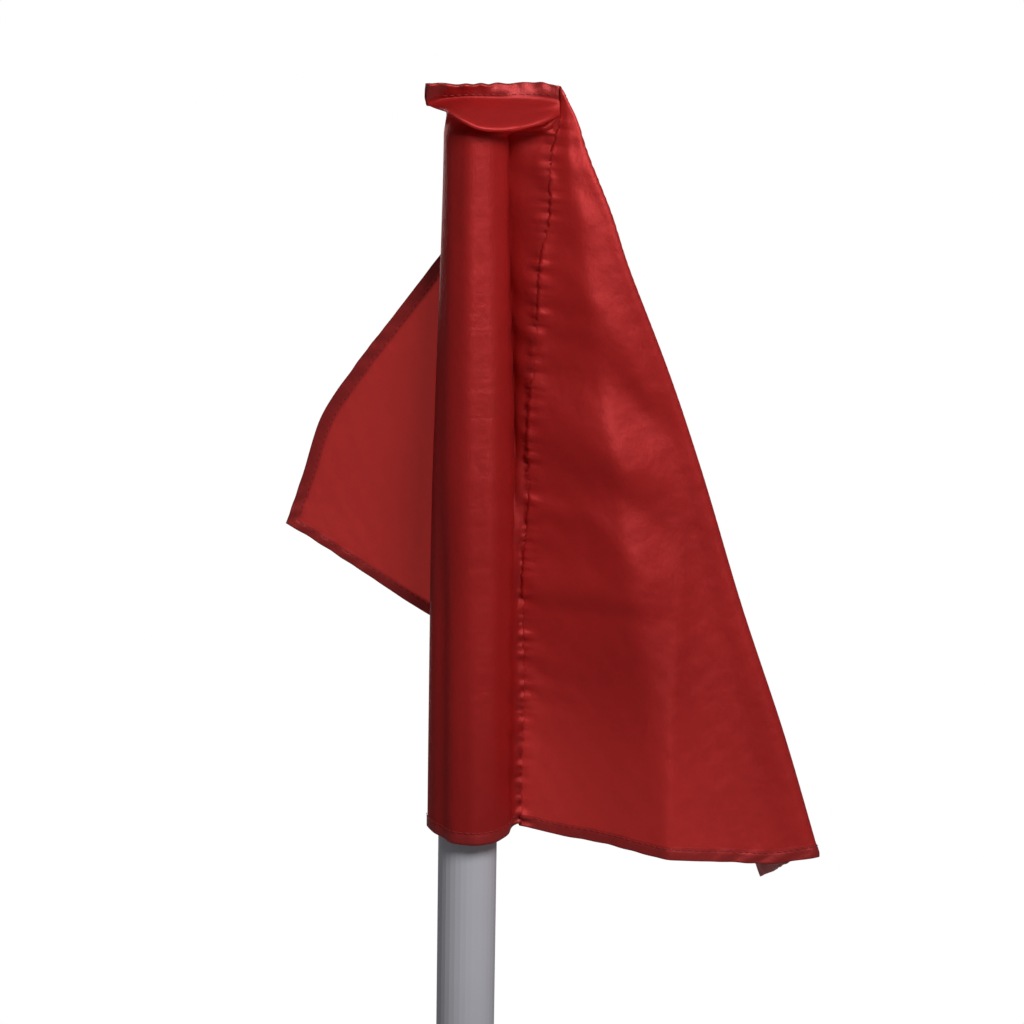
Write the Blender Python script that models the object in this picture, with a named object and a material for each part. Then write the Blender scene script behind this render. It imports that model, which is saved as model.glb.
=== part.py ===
"""A golf flagstick: a two-piece round pole with a ferrule for the cup of the hole, and a pocket flag that
hangs over a turning cap at the top. Metres, +Z up along the pole, origin at the foot of the ferrule."""

from math import acos, cos, exp, hypot, pi, radians, sin, sqrt, tau

import bmesh
import bpy
from mathutils import Matrix, Vector

GAP = 0.0003  # between pieces that touch

# Pole
TOTAL_HEIGHT = 2.134
POLE_R = 0.01335
POLE_WALL = 0.00287
BORE_R = POLE_R - POLE_WALL
INSERT_R = BORE_R - GAP  # everything that is pushed into a pole end
ROUND_STEPS = 32

# Ferrule
SHANK_R = 0.009525
SHANK_LENGTH = 0.200
SHANK_CHAMFER = 0.002
FLANGE_R = 0.0146
FLANGE_HEIGHT = 0.008
PLUG_LENGTH = 0.060
PIN_R = 0.002
PIN_HALF_LENGTH = 0.0130
PIN_HEIGHT = 0.030  # above the flange

# Joint between the two halves of the pole
JOINT_Z = 1.170  # top of the lower half
COLLAR_HEIGHT = 0.008
COLLAR_R = 0.0146
SPIGOT_REACH = 0.080  # into each half
SPIGOT_WALL = 0.002
RIVET_R = 0.002
RIVET_DROPS = {"spigot_rivet_upper": 0.020, "spigot_rivet_lower": 0.060}

# Turning cap
DOME_HEIGHT = 0.006
HEAD_RIM = 0.003
BUSH_FLANGE = 0.002
BUSH_LENGTH = 0.025
STEM_R = 0.004
STEM_END = 0.036  # below the shoulder
GROOVE_R = 0.003
CLIP_R = 0.008
CLIP_THICKNESS = 0.001
CLIP_OPENING = radians(70)

# The shoulder is the edge of the cap where the cloth breaks from the pocket's wall to its closed top.
SHOULDER_Z = TOTAL_HEIGHT - DOME_HEIGHT
POLE_TOP_Z = SHOULDER_Z - HEAD_RIM - BUSH_FLANGE - 2 * GAP

# Flag, in places measured from the pole's axis and the shoulder
CLOTH = 0.0011  # thickness of the stand-in solids
POCKET_FOOT = -0.3170
POCKET_TOP = 0.0212
SEAM_TOP = Vector((0.0355, 0.002, POCKET_TOP))
SEAM_FOOT = Vector((0.0238, 0.000, POCKET_FOOT))
TOP_EDGE_LEFT = -0.0221  # free end of the flattened top
TOP_EDGE_Y = 0.005
TOP_HALF_DEPTH = 0.0012  # of the pressed-flat top
SEAM_LEAN_DROP = 0.090  # how far down the seam's sideways lean dies out
SEAM_LEAN_POWER = 1.6
POCKET_R = 0.0143  # round part of the pocket at the shoulder
POCKET_EASE = 0.0049  # added to it lower down
POCKET_SHIFT = 0.0012  # of the round part towards the seam, lower down
POCKET_EASE_DROP = 0.200
POCKET_STEPS = 40

# Lower edge of the flag from the seam to the fold, and on round the free corner to the upper fly corner
FRONT_RIM = [(0.026, 0.000, -0.317), (0.043, -0.008, -0.320), (0.066, -0.016, -0.321),
             (0.090, -0.021, -0.322), (0.124, -0.017, -0.323), (0.158, -0.012, -0.324)]
BACK_RIM = [(0.158, -0.012, -0.324), (0.153, 0.022, -0.339), (0.147, 0.055, -0.357),
            (0.142, 0.082, -0.3705), (0.137, 0.093, -0.362), (0.126, 0.107, -0.334),
            (0.104, 0.118, -0.304), (0.073, 0.112, -0.283), (0.048, 0.087, -0.268),
            (0.027, 0.057, -0.254), (0.004, 0.038, -0.241), (-0.018, 0.034, -0.229),
            (-0.052, 0.039, -0.208), (-0.086, 0.0445, -0.188)]
PANEL_START = 0.16  # share of the way from the seam's top where the stand-in panels begin
PANEL_ROWS = 14
PANEL_CLEARANCE = 0.0024  # from the front panel to the pocket's seam
FOLD_CLEARANCE = 0.0014  # from the front panel to the back one at the fold
POCKET_BOW = 0.0065  # of the back panel, backwards past the pocket
POCKET_BOW_SHARE = 0.65  # of the way to the rim where the bow ends


def clear_scene():
    for obj in list(bpy.data.objects):
        bpy.data.objects.remove(obj)


def material(name, colour, roughness, metallic=0.0):
    mat = bpy.data.materials.get(name) or bpy.data.materials.new(name)
    mat.use_nodes = True
    shader = mat.node_tree.nodes["Principled BSDF"]
    shader.inputs["Base Color"].default_value = (*colour, 1.0)
    shader.inputs["Roughness"].default_value = roughness
    shader.inputs["Metallic"].default_value = metallic
    return mat


def pole_plastic():
    return material("pole_plastic", (0.46, 0.46, 0.49), 0.45)


def aluminium():
    return material("aluminium", (0.74, 0.75, 0.77), 0.32, 1.0)


def white_plastic():
    return material("white_plastic", (0.82, 0.82, 0.80), 0.40)


def black_plastic():
    return material("black_plastic", (0.05, 0.05, 0.055), 0.45)


def spring_steel():
    return material("spring_steel", (0.55, 0.55, 0.56), 0.30, 1.0)


def flag_nylon():
    return material("flag_nylon", (0.42, 0.02, 0.025), 0.50)


def add_object(name, bm, mat, round_piece=True):
    """Makes a node from a bmesh and gives it its material."""
    bmesh.ops.recalc_face_normals(bm, faces=bm.faces)
    mesh = bpy.data.meshes.new(name)
    bm.to_mesh(mesh)
    bm.free()
    mesh.materials.append(mat)
    if round_piece:
        mesh.shade_smooth()
        mesh.set_sharp_from_angle(angle=radians(35))
    obj = bpy.data.objects.new(name, mesh)
    bpy.context.scene.collection.objects.link(obj)
    return obj


def turned(profile, start=0.0, sweep=tau):
    """Turns a closed (radius, height) outline about Z. A full turn is joined; a part turn is capped."""
    bm = bmesh.new()
    verts = [bm.verts.new((r * cos(start), r * sin(start), z)) for r, z in profile]
    full = sweep >= tau
    if full:
        edges = [bm.edges.new((a, b)) for a, b in zip(verts, verts[1:] + verts[:1])]
        geom = verts + edges
    else:
        geom = [bm.faces.new(verts)]
    steps = max(8, round(ROUND_STEPS * sweep / tau))
    bmesh.ops.spin(bm, geom=geom, cent=(0, 0, 0), axis=(0, 0, 1), angle=sweep, steps=steps,
                   use_merge=full, use_normal_flip=False)
    bmesh.ops.remove_doubles(bm, verts=bm.verts, dist=1e-7)
    bmesh.ops.dissolve_degenerate(bm, edges=bm.edges, dist=1e-7)
    return bm


def tube_profile(inner, outer, low, high):
    return [(inner, low), (outer, low), (outer, high), (inner, high)]


def cross_cutter(name, radius, height, reach, start=0.0):
    """A hidden cylinder along +Y that drills a cross hole at the given height."""
    bm = bmesh.new()
    bmesh.ops.create_cone(bm, cap_ends=True, segments=16, radius1=radius, radius2=radius, depth=reach - start)
    turn = Matrix.Rotation(-pi / 2, 4, "X")
    place = Matrix.Translation((0, (reach + start) / 2, height))
    bmesh.ops.transform(bm, matrix=place @ turn, verts=bm.verts)
    cutter = add_object(name, bm, aluminium())
    cutter.hide_render = True
    cutter.display_type = "WIRE"
    return cutter


def drill(obj, cutter):
    cut = obj.modifiers.new("drill_" + cutter.name, "BOOLEAN")
    cut.operation = "DIFFERENCE"
    cut.solver = "EXACT"
    cut.object = cutter


def make_ferrule():
    """The turned foot: a thin shank for the cup, a flange under the pole, and a plug inside the pole."""
    flange_low = SHANK_LENGTH
    flange_high = SHANK_LENGTH + FLANGE_HEIGHT
    chamfer = 0.001
    profile = [
        (0, 0),
        (SHANK_R - SHANK_CHAMFER, 0),
        (SHANK_R, SHANK_CHAMFER),
        (SHANK_R, flange_low - (FLANGE_R - SHANK_R)),
        (FLANGE_R, flange_low),
        (FLANGE_R, flange_high - chamfer),
        (FLANGE_R - chamfer, flange_high),
        (INSERT_R, flange_high),
        (INSERT_R, flange_high + PLUG_LENGTH - chamfer),
        (INSERT_R - chamfer, flange_high + PLUG_LENGTH),
        (0, flange_high + PLUG_LENGTH),
    ]
    return add_object("ferrule", turned(profile), aluminium())


def make_ferrule_pin(height):
    bm = bmesh.new()
    bmesh.ops.create_cone(bm, cap_ends=True, segments=16, radius1=PIN_R, radius2=PIN_R,
                          depth=2 * PIN_HALF_LENGTH)
    pin = add_object("ferrule_pin", bm, spring_steel())
    pin.rotation_euler = (-pi / 2, 0, 0)
    pin.location = (0, 0, height)
    return pin


def make_pole(name, low, high):
    return add_object(name, turned(tube_profile(BORE_R, POLE_R, low, high)), pole_plastic())


def make_spigot():
    chamfer = 0.0008
    low = JOINT_Z - SPIGOT_REACH
    high = JOINT_Z + COLLAR_HEIGHT + SPIGOT_REACH
    inner = INSERT_R - SPIGOT_WALL
    profile = [
        (inner, low),
        (INSERT_R, low),
        (INSERT_R, high - chamfer),
        (INSERT_R - chamfer, high),
        (inner, high),
    ]
    return add_object("joint_spigot", turned(profile), aluminium())


def make_collar():
    low = JOINT_Z + GAP
    high = low + COLLAR_HEIGHT
    chamfer = 0.001
    profile = [
        (BORE_R, low),
        (COLLAR_R - chamfer, low),
        (COLLAR_R, low + chamfer),
        (COLLAR_R, high - chamfer),
        (COLLAR_R - chamfer, high),
        (BORE_R, high),
    ]
    return add_object("joint_collar", turned(profile), black_plastic())


def make_rivet(name, height):
    """A blind rivet through one wall of the pole and the spigot, with its domed head at the back."""
    head_r = 0.0035
    head_low = POLE_R + GAP
    head_rise = 0.0012
    tail_r = 0.003
    tail_low = 0.0056
    tail_high = 0.0072
    dome = [(head_r * cos(a), head_low + head_rise * sin(a)) for a in (0, pi / 8, pi / 4, 3 * pi / 8)]
    profile = [(0, tail_low), (tail_r, tail_low), (tail_r, tail_high), (RIVET_R, tail_high),
               (RIVET_R, head_low), *dome, (0, head_low + head_rise)]
    bm = turned(profile)
    bmesh.ops.transform(bm, matrix=Matrix.Rotation(-pi / 2, 4, "X"), verts=bm.verts)
    rivet = add_object(name, bm, aluminium())
    rivet.location = (0, 0, height)
    return rivet


def make_bush():
    low = SHOULDER_Z - HEAD_RIM - GAP - BUSH_FLANGE
    bore = STEM_R + GAP
    profile = [
        (bore, low - BUSH_LENGTH),
        (INSERT_R, low - BUSH_LENGTH),
        (INSERT_R, low),
        (POLE_R, low),
        (POLE_R, low + BUSH_FLANGE),
        (bore, low + BUSH_FLANGE),
    ]
    return add_object("top_bush", turned(profile), white_plastic())


def groove_heights():
    """The lower and upper ends of the stem's groove, just below the bush."""
    bush_foot = SHOULDER_Z - HEAD_RIM - GAP - BUSH_FLANGE - BUSH_LENGTH
    high = bush_foot - GAP
    return high - CLIP_THICKNESS - 2 * GAP, high


def make_swivel_cap():
    """The domed head and its stem, grooved for the clip."""
    groove_low, groove_high = groove_heights()
    chamfer = 0.0006
    head_low = SHOULDER_Z - HEAD_RIM
    ball_r = (POLE_R**2 + DOME_HEIGHT**2) / (2 * DOME_HEIGHT)
    rim_angle = acos((ball_r - DOME_HEIGHT) / ball_r)
    dome = []
    for step in range(1, 7):
        angle = rim_angle * (1 - step / 7)
        dome.append((ball_r * sin(angle), TOTAL_HEIGHT - ball_r * (1 - cos(angle))))
    profile = [
        (0, SHOULDER_Z - STEM_END),
        (STEM_R - chamfer, SHOULDER_Z - STEM_END),
        (STEM_R, SHOULDER_Z - STEM_END + chamfer),
        (STEM_R, groove_low),
        (GROOVE_R, groove_low),
        (GROOVE_R, groove_high),
        (STEM_R, groove_high),
        (STEM_R, head_low),
        (POLE_R, head_low),
        (POLE_R, SHOULDER_Z),
        *dome,
        (0, TOTAL_HEIGHT),
    ]
    return add_object("swivel_cap", turned(profile), white_plastic())


def make_clip():
    """An open ring in the stem's groove."""
    groove_low, _ = groove_heights()
    low = groove_low + GAP
    profile = tube_profile(GROOVE_R + GAP, CLIP_R, low, low + CLIP_THICKNESS)
    bm = turned(profile, CLIP_OPENING / 2, tau - CLIP_OPENING)
    return add_object("cap_clip", bm, spring_steel())


def smooth(x):
    x = min(1.0, max(0.0, x))
    return x * x * (3 - 2 * x)


def seam_point(z):
    """The seam leaves the top sideways and runs down beside the pole."""
    drop = max(0.0, POCKET_TOP - z) / SEAM_LEAN_DROP
    lean = exp(-(drop**SEAM_LEAN_POWER))
    return SEAM_FOOT.lerp(SEAM_TOP, lean).xy.to_3d() + Vector((0, 0, z))


def pocket_radius(z):
    """Radius of the round part of the pocket: close on the cap, looser lower down."""
    return POCKET_R + POCKET_EASE * smooth(-z / POCKET_EASE_DROP)


def pocket_section(z):
    """Points round the pocket at one height: a round back, with two flat walls that meet at the seam."""
    seam = seam_point(z)
    radius = pocket_radius(z)
    centre_x = POCKET_SHIFT * smooth(-z / POCKET_EASE_DROP)
    reach = hypot(seam.x - centre_x, seam.y)
    facing = acos((seam.x - centre_x) / reach)
    touch = acos(radius / reach)
    flat = sqrt(reach**2 - radius**2)
    around = (tau - 2 * touch) * radius
    total = 2 * flat + around
    points = []
    for step in range(POCKET_STEPS):
        along = total * step / POCKET_STEPS
        if flat <= along <= flat + around:
            angle = facing - touch - (along - flat) / radius
            points.append(Vector((centre_x + radius * cos(angle), radius * sin(angle), z)))
            continue
        side = -1 if along < flat else 1
        share = along / flat if along < flat else (total - along) / flat
        angle = facing + side * touch
        tangent = Vector((centre_x + radius * cos(angle), radius * sin(angle), z))
        points.append(seam.lerp(tangent, share))
    return points


def flat_section(z, half_depth):
    """Points round the pressed-flat top of the pocket, in the same order as pocket_section."""
    points = []
    for step in range(POCKET_STEPS):
        share = 2 * step / POCKET_STEPS
        front = share <= 1
        across = share if front else 2 - share
        x = SEAM_TOP.x + (TOP_EDGE_LEFT - SEAM_TOP.x) * across
        bulge = half_depth * min(1.0, 6 * min(across, 1 - across) + 0.3)
        y = TOP_EDGE_Y + (-bulge if front else bulge)
        points.append(Vector((x, y, z)))
    return points


def pocket_ring(z, inset):
    """One level of the pocket, moved inwards by inset."""
    points = pocket_section(min(z, 0.0))
    if z > 0:
        share = smooth(z / POCKET_TOP)
        flat = flat_section(z, TOP_HALF_DEPTH)
        points = [Vector((*a.lerp(b, share).xy, z)) for a, b in zip(points, flat)]
    ring = []
    for index, point in enumerate(points):
        along = points[(index + 1) % POCKET_STEPS] - points[index - 1]
        inward = Vector((along.y, -along.x, 0)).normalized()
        ring.append(point + inward * inset)
    return ring


def make_pocket():
    """The sleeve: open at its foot, closed above the cap."""
    heights = [POCKET_FOOT, -0.26, -0.20, -0.15, -0.11, -0.075, -0.045, -0.02, 0.0]
    outer = [pocket_ring(z, -CLOTH / 2) for z in heights + [0.0045, 0.009, 0.0135, 0.0175, POCKET_TOP]]
    inner = [pocket_ring(z, CLOTH / 2) for z in heights + [0.0045, 0.009]]
    bm = bmesh.new()

    def add_levels(levels):
        rings = [[bm.verts.new(p + Vector((0, 0, SHOULDER_Z))) for p in level] for level in levels]
        for low, high in zip(rings, rings[1:]):
            for i in range(POCKET_STEPS):
                j = (i + 1) % POCKET_STEPS
                bm.faces.new((low[i], low[j], high[j], high[i]))
        return rings

    outside = add_levels(outer)
    inside = add_levels(inner)
    for i in range(POCKET_STEPS):
        j = (i + 1) % POCKET_STEPS
        bm.faces.new((outside[0][i], inside[0][i], inside[0][j], outside[0][j]))
    bm.faces.new(outside[-1])
    bm.faces.new(inside[-1])
    bmesh.ops.triangulate(bm, faces=[f for f in bm.faces if len(f.verts) > 4])
    return add_object("flag_pocket", bm, flag_nylon())


def curve_points(keys, steps):
    """A smooth curve through the key points, as evenly numbered steps."""
    keys = [Vector(k) for k in keys]
    ends = [keys[0] * 2 - keys[1], *keys, keys[-1] * 2 - keys[-2]]
    points = []
    for step in range(steps + 1):
        place = (len(keys) - 1) * step / steps
        i = min(int(place), len(keys) - 2)
        t = place - i
        a, b, c, d = ends[i:i + 4]
        points.append(0.5 * (2 * b + (c - a) * t + (2 * a - 5 * b + 4 * c - d) * t**2
                             + (3 * b - a - 3 * c + d) * t**3))
    return points


def front_place(point, share, across):
    """Leaves the seam along its curve and stops just short of the fold."""
    place = SEAM_TOP.lerp(point, share)
    straight = SEAM_TOP.lerp(SEAM_FOOT, share)
    place.x += (seam_point(place.z).x - straight.x + PANEL_CLEARANCE) * (1 - across) ** 2
    place.x -= FOLD_CLEARANCE * across**6
    return place


def back_place(point, share, across):
    """Bows backwards on its way past the pocket."""
    place = SEAM_TOP.lerp(point, share)
    place.y += POCKET_BOW * sin(pi * min(1.0, share / POCKET_BOW_SHARE)) * smooth(2 * across)
    return place


def make_panel(name, rim, steps, place_of):
    """Cloth that hangs in lines from the top of the seam to its lower edge."""
    points = curve_points(rim, steps)
    bm = bmesh.new()
    rows = []
    for row in range(PANEL_ROWS + 1):
        share = PANEL_START + (1 - PANEL_START) * row / PANEL_ROWS
        places = [place_of(point, share, column / steps) for column, point in enumerate(points)]
        rows.append([bm.verts.new(place + Vector((0, 0, SHOULDER_Z))) for place in places])
    for upper, lower in zip(rows, rows[1:]):
        for i in range(steps):
            bm.faces.new((upper[i], lower[i], lower[i + 1], upper[i + 1]))
    panel = add_object(name, bm, flag_nylon())
    thick = panel.modifiers.new("thickness", "SOLIDIFY")
    thick.thickness = CLOTH
    thick.offset = 0
    return panel


def main():
    clear_scene()
    flange_top = SHANK_LENGTH + FLANGE_HEIGHT
    ferrule = make_ferrule()
    make_ferrule_pin(flange_top + PIN_HEIGHT)
    lower = make_pole("lower_pole", flange_top + GAP, JOINT_Z)
    spigot = make_spigot()
    make_collar()
    make_pole("upper_pole", JOINT_Z + COLLAR_HEIGHT + 2 * GAP, POLE_TOP_Z)
    pin_hole = cross_cutter("pin_hole", PIN_R + GAP, flange_top + PIN_HEIGHT, 2 * POLE_R, -2 * POLE_R)
    drill(ferrule, pin_hole)
    drill(lower, pin_hole)
    for name, drop in RIVET_DROPS.items():
        make_rivet(name, JOINT_Z - drop)
        hole = cross_cutter(name + "_hole", RIVET_R + GAP, JOINT_Z - drop, 2 * POLE_R)
        drill(lower, hole)
        drill(spigot, hole)
    make_bush()
    make_swivel_cap()
    make_clip()
    make_pocket()
    make_panel("flag_front_panel", FRONT_RIM, 12, front_place)
    make_panel("flag_back_panel", BACK_RIM, 32, back_place)


main()
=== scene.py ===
"""Looks of a golf flagstick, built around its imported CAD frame. Metres, +Z up.

The flag is one nylon cloth. It is modelled as the pocket that slips over the pole and the fly that hangs from
the pocket's seam, because the fly swings about that seam. Places on the flag are measured from the pole's
axis and the shoulder, the edge of the cap where the cloth breaks from the pocket's wall to its closed top.
"""

from math import cos, pi, radians, sin, tau

import bpy
import numpy as np
from mathutils import Matrix, Vector


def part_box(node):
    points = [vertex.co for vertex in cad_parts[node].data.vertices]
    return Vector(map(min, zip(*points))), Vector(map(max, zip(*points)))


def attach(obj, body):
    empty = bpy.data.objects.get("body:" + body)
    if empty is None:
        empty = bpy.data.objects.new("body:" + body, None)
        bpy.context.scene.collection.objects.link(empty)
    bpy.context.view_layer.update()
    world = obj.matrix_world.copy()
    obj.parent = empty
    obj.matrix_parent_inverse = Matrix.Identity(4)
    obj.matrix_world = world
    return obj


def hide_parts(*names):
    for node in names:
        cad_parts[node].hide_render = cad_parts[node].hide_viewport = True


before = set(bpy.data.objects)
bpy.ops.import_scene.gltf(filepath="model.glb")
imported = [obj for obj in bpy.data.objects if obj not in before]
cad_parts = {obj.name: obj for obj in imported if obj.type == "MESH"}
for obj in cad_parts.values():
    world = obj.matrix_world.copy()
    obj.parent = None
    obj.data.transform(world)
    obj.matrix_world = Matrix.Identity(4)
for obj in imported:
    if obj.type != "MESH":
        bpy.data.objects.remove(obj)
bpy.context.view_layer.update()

MM = 0.001

# Places taken from the frame
DOME_HEIGHT = 0.006  # how far the cap's dome stands above its edge
SHOULDER = np.array([0.0, 0.0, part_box("swivel_cap")[1][2] - DOME_HEIGHT])
POLE_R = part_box("upper_pole")[1][0]

# The flag's cut, as the flat cloth
FLY = 0.245  # from the seam to the free end
HOIST = 0.340
POCKET_ROUND = 0.122  # once round the pocket
HEM = 0.006
CLOTH = 0.0004
HEM_CLOTH = 0.0011

# A place on the flag is written (out from the pole's axis, back, up from the shoulder), in mm.

# The seam between the pocket and the fly, from its foot to its top
SEAM = [(24.2, 0.0, -317), (24.1, -0.4, -288), (24.5, -0.8, -256), (23.5, -1.2, -228), (23.4, -2.0, -190),
        (25.3, -2.8, -163), (24.4, -3.6, -131), (26.0, -4.4, -104), (27.8, -5.0, -77), (28.8, -5.2, -53),
        (32.4, -4.8, -34), (32.0, -3.4, -12), (35.8, -0.4, 8.7), (35.5, 2.0, 20.8)]
SEAM_TOP = np.array(SEAM[-1]) * MM

# The fly's lower edge: how far along it from the seam on the flat cloth, then that point's place
BOTTOM_EDGE = [(0, (25.0, 0.3, -316.5)), (20, (43.2, -4.5, -319.0)), (39, (61.5, -11.0, -319.6)),
               (59, (80.5, -18.5, -321.4)), (69, (90.0, -21.5, -322.2)), (98, (119, -17.0, -325.6)),
               (118, (138.8, -14.5, -327.2)), (137, (158.3, -12.0, -325.0)), (157, (157.0, 6.0, -331.5)),
               (196, (150.1, 40, -350)), (218, (147.6, 58.0, -359.6)), (245, (142.6, 82.0, -371.6))]
FOLD_POINT = 7  # which of them is at the fold
# On the flat cloth, the angle at the seam's top between the seam and the fold
FOLD_ANGLE = np.arctan2(BOTTOM_EDGE[FOLD_POINT][0] * MM, HOIST)
# The fly's free end, upwards: how far down the hoist on the flat cloth, then that point's place
END_EDGE = [(311, (132.6, 100.4, -351)), (272, (116.5, 114.0, -318.4)), (233, (88.5, 117.9, -292.6)),
            (194, (59.0, 100.8, -275)), (155, (37.4, 71.8, -261)), (117, (13.9, 44.7, -246.5)),
            (78, (-18.2, 34.0, -227.2)), (39, (-52.0, 39.0, -206.8)), (0, (-86.0, 44.5, -187.9))]
# The fly's top edge, past the pole to its upper free corner: the share of the way, then that point's place
TOP_EDGE = [(0.0, SEAM[-1]), (0.15, (18.0, 9.5, -7.0)), (0.42, (-17.3, 24.0, -59.0)),
            (0.56, (-38.1, 30.0, -88.0)), (0.68, (-54.4, 35.0, -111.0)), (0.785, (-70.3, 40.0, -137.5)),
            (0.86, (-77.3, 42.4, -161.0)), (1.0, END_EDGE[-1][1])]
# Where the cloth turns from front to back: (up from the shoulder, out from the axis), up to the seam's top
FOLD = [(-324, 158.3), (-270, 141.5), (-209, 120.2), (-146, 100.2), (-105, 86.0), (-62, 69.7), (-28, 57.4),
        (-15, 52.6), (-2, 46.6), (20.8, 35.5)]

# Lockstitches: each is a short bar of thread, which swells from its ends
STITCH_PITCH = 0.0030
STITCH_LENGTH = 0.0022
THREAD_R = 0.00017
THREAD_SIDES = 6
# the rings along a stitch: the share of the thread's radius, and how many radii it is sunk in the cloth
STITCH_RINGS = ((0.35, 0.9), (1.0, 0.1), (1.0, 0.1), (0.35, 0.9))
POCKET_THREAD_GAP, FLY_THREAD_GAP = 0.00010, 0.00012  # from the cloth's face to the thread's line


# ---------------------------------------------------------------- helpers


def smooth(x):
    """0 below 0 and 1 above 1, with a soft rise between."""
    x = np.clip(x, 0.0, 1.0)
    return x * x * (3 - 2 * x)


def hump(at, middle, width):
    """A round hump: 1 at the middle, and fading to almost nothing two widths away."""
    return np.exp(-(((at - middle) / width) ** 2))


def wave(at, length, shift=0.0):
    """A wave of the given length, between -1 and 1, shifted by an angle."""
    return np.sin(at * tau / length + shift)


def unit(v):
    return v / np.maximum(np.linalg.norm(v, axis=-1, keepdims=True), 1e-12)


def run_length(points):
    """How far each point of a run is from its first point, along the run."""
    steps = np.linalg.norm(np.diff(points, axis=0), axis=1)
    return np.concatenate([[0.0], np.cumsum(steps)])


def evenly(points, count):
    """An open run of points, read again at the given number of even places."""
    along = run_length(points)
    at = np.linspace(0, along[-1], count)
    return np.stack([np.interp(at, along, points[:, k]) for k in range(points.shape[1])], axis=-1)


def through(keys, values, at):
    """The smooth curve that passes through the values at the rising keys, read at the given places."""
    keys = np.asarray(keys, float)
    values = np.asarray(values, float)
    at = np.asarray(at, float)
    slopes = np.gradient(values, keys, axis=0)
    i = np.clip(np.searchsorted(keys, at, side="right") - 1, 0, len(keys) - 2)
    width = keys[i + 1] - keys[i]
    t = (at - keys[i]) / width
    deeper = (1,) * (values.ndim - 1)
    t = t.reshape(t.shape + deeper)
    width = width.reshape(width.shape + deeper)
    ease = t * t * (3 - 2 * t)
    start = t * (1 - t) ** 2 * width
    end = t * t * (t - 1) * width
    return values[i] * (1 - ease) + values[i + 1] * ease + slopes[i] * start + slopes[i + 1] * end


def new_object(name, data):
    obj = bpy.data.objects.new(name, data)
    bpy.context.scene.collection.objects.link(obj)
    return obj


def cloth_mesh(name, places, flat, mat, hem, round_about=False, creased=()):
    """A sheet from a grid of places. flat holds each point's place on the cut cloth, in metres, and hem how
    near each point is to a hem's thickness, from 0 to 1, which the material also paints darker as painted
    shade.
    The cloth is creased down each (column, first row, row after the last)."""
    rows, columns = places.shape[:2]
    index = np.arange(rows * columns).reshape(rows, columns)
    right = np.roll(index, -1, axis=1) if round_about else index[:, 1:]
    left = index if round_about else index[:, :-1]
    faces = np.stack([left[:-1], right[:-1], right[1:], left[1:]], axis=-1).reshape(-1, 4)
    mesh = bpy.data.meshes.new(name)
    mesh.from_pydata((places + SHOULDER).reshape(-1, 3).tolist(), [], faces.tolist())
    corners = flat.reshape(-1, 2)[faces.reshape(-1)].reshape(-1, 4, 2)
    if round_about:
        # the faces that close the ring run on past the cut's edge, not back to its start
        across = corners[:, :, 0]
        closing = across.max(axis=1) - across.min(axis=1) > POCKET_ROUND / 2
        corners[:, :, 0] += POCKET_ROUND * (closing[:, None] & (across < POCKET_ROUND / 2))
    on_cut = mesh.uv_layers.new(name="cloth")
    on_cut.data.foreach_set("uv", corners.reshape(-1).astype(np.float32))
    in_hem = mesh.attributes.new("in_hem", "FLOAT", "POINT")
    in_hem.data.foreach_set("value", hem.reshape(-1).astype(np.float32))
    mesh.materials.append(mat)
    mesh.shade_smooth()
    for column, first, last in creased:
        line = set(index[first:last, column].tolist())
        for edge in mesh.edges:
            if line.issuperset(edge.vertices):
                edge.use_edge_sharp = True
    obj = new_object(name, mesh)
    group = obj.vertex_groups.new(name="hem")
    tenths = np.round(hem.reshape(-1) * 10)
    for tenth in range(11):
        chosen = np.flatnonzero(tenths == tenth)
        if len(chosen):
            group.add(chosen.tolist(), tenth / 10, "REPLACE")
    thick = obj.modifiers.new("thickness", "SOLIDIFY")
    thick.thickness = HEM_CLOTH
    thick.offset = 0
    thick.vertex_group = "hem"
    thick.thickness_vertex_group = CLOTH / HEM_CLOTH
    return obj


def thread(name, runs, body):
    """Lockstitches along each run of (places, normals)."""
    verts, faces = [], []
    for places, normals in runs:
        along = run_length(places)
        for middle in np.arange(STITCH_PITCH, along[-1] - STITCH_PITCH, STITCH_PITCH):
            at = middle + STITCH_LENGTH * np.array([-1 / 2, -1 / 4, 1 / 4, 1 / 2])
            spine = np.stack([np.interp(at, along, places[:, k]) for k in range(3)], axis=-1)
            up = unit(np.array([np.interp(middle, along, normals[:, k]) for k in range(3)]))
            side = unit(np.cross(unit(spine[-1] - spine[0]), up))
            first = len(verts)
            for centre, (size, depth) in zip(spine, STITCH_RINGS):
                sunk = centre - up * THREAD_R * depth
                for k in range(THREAD_SIDES):
                    turn = tau * k / THREAD_SIDES
                    verts.append(sunk + THREAD_R * size * (cos(turn) * side + sin(turn) * up))
            last = first + (len(STITCH_RINGS) - 1) * THREAD_SIDES
            for ring in range(first, last, THREAD_SIDES):
                for k in range(THREAD_SIDES):
                    a = ring + k
                    b = ring + (k + 1) % THREAD_SIDES
                    faces.append((a, b, b + THREAD_SIDES, a + THREAD_SIDES))
            faces.append(tuple(reversed(range(first, first + THREAD_SIDES))))
            faces.append(tuple(range(last, last + THREAD_SIDES)))
    mesh = bpy.data.meshes.new(name)
    mesh.from_pydata([tuple(v + SHOULDER) for v in verts], [], faces)
    mesh.materials.append(painted_shade_thread())
    mesh.shade_smooth()
    obj = new_object(name, mesh)
    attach(obj, body)
    return obj


# ---------------------------------------------------------------- materials


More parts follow.
